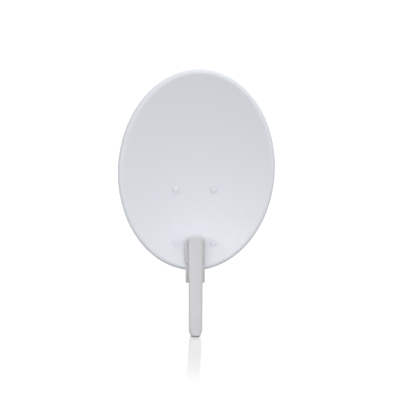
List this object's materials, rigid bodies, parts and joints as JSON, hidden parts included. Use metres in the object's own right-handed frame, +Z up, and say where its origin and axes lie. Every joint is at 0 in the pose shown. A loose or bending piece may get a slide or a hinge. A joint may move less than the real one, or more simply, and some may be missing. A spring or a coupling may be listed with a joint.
{
  "type": "offset dish antenna",
  "caption": "Oval offset dish antenna with a rolled rim, a slim feed arm in a cradle at its lower edge, and a tilt bracket that clamps to a mast.",
  "frame": {"origin": "middle of the mast bracket's flat rear face, where the mast stands against it", "axes": "+Z up, -Y to the front where the dish looks, +X to the right seen from the front; the mast is parallel to Z behind the origin"},
  "size_m": [0.4, 0.2212, 0.6729],
  "materials": {
    "painted_steel": "pale grey powder coat, satin",
    "arm_plastic": "moulded light grey plastic, fine matt texture",
    "cover_plastic": "moulded grey plastic, matt",
    "bracket_steel": "powder-coated sheet steel",
    "zinc_steel": "bright zinc plate",
    "nylon": "moulded nylon, matt"
  },
  "bodies": {
    "root": {"arm_front_shell": "arm_plastic", "arm_lock_screw": "zinc_steel", "arm_rear_shell": "arm_plastic", "arm_tip_cap": "arm_plastic", "arm_top_cap": "arm_plastic", "bolt_nut_lower_left": "zinc_steel", "bolt_nut_lower_right": "zinc_steel", "bolt_nut_upper_left": "zinc_steel", "bolt_nut_upper_right": "zinc_steel", "cable_door": "cover_plastic", "carriage_bolt_lower_left": "painted_steel", "carriage_bolt_lower_right": "painted_steel", "carriage_bolt_upper_left": "painted_steel", "carriage_bolt_upper_right": "painted_steel", "cradle_nut_lower": "zinc_steel", "cradle_nut_upper": "zinc_steel", "cradle_screw_lower": "zinc_steel", "cradle_screw_upper": "zinc_steel", "feed_cradle": "arm_plastic", "feed_window": "cover_plastic", "lock_bolt": "zinc_steel", "lock_nut": "zinc_steel", "lock_washer_left": "zinc_steel", "lock_washer_right": "zinc_steel", "mast_bracket": "bracket_steel", "pivot_bolt": "zinc_steel", "pivot_nut": "zinc_steel", "pivot_washer_left": "zinc_steel", "pivot_washer_right": "zinc_steel", "reflector": "painted_steel", "spacer_lower_left": "nylon", "spacer_lower_right": "nylon", "spacer_upper_left": "nylon", "spacer_upper_right": "nylon", "tilt_bracket": "bracket_steel", "u_bolt_lower": "zinc_steel", "u_bolt_nut_lower_left": "zinc_steel", "u_bolt_nut_lower_right": "zinc_steel", "u_bolt_nut_upper_left": "zinc_steel", "u_bolt_nut_upper_right": "zinc_steel", "u_bolt_upper": "zinc_steel"}
  },
  "joints": []
}
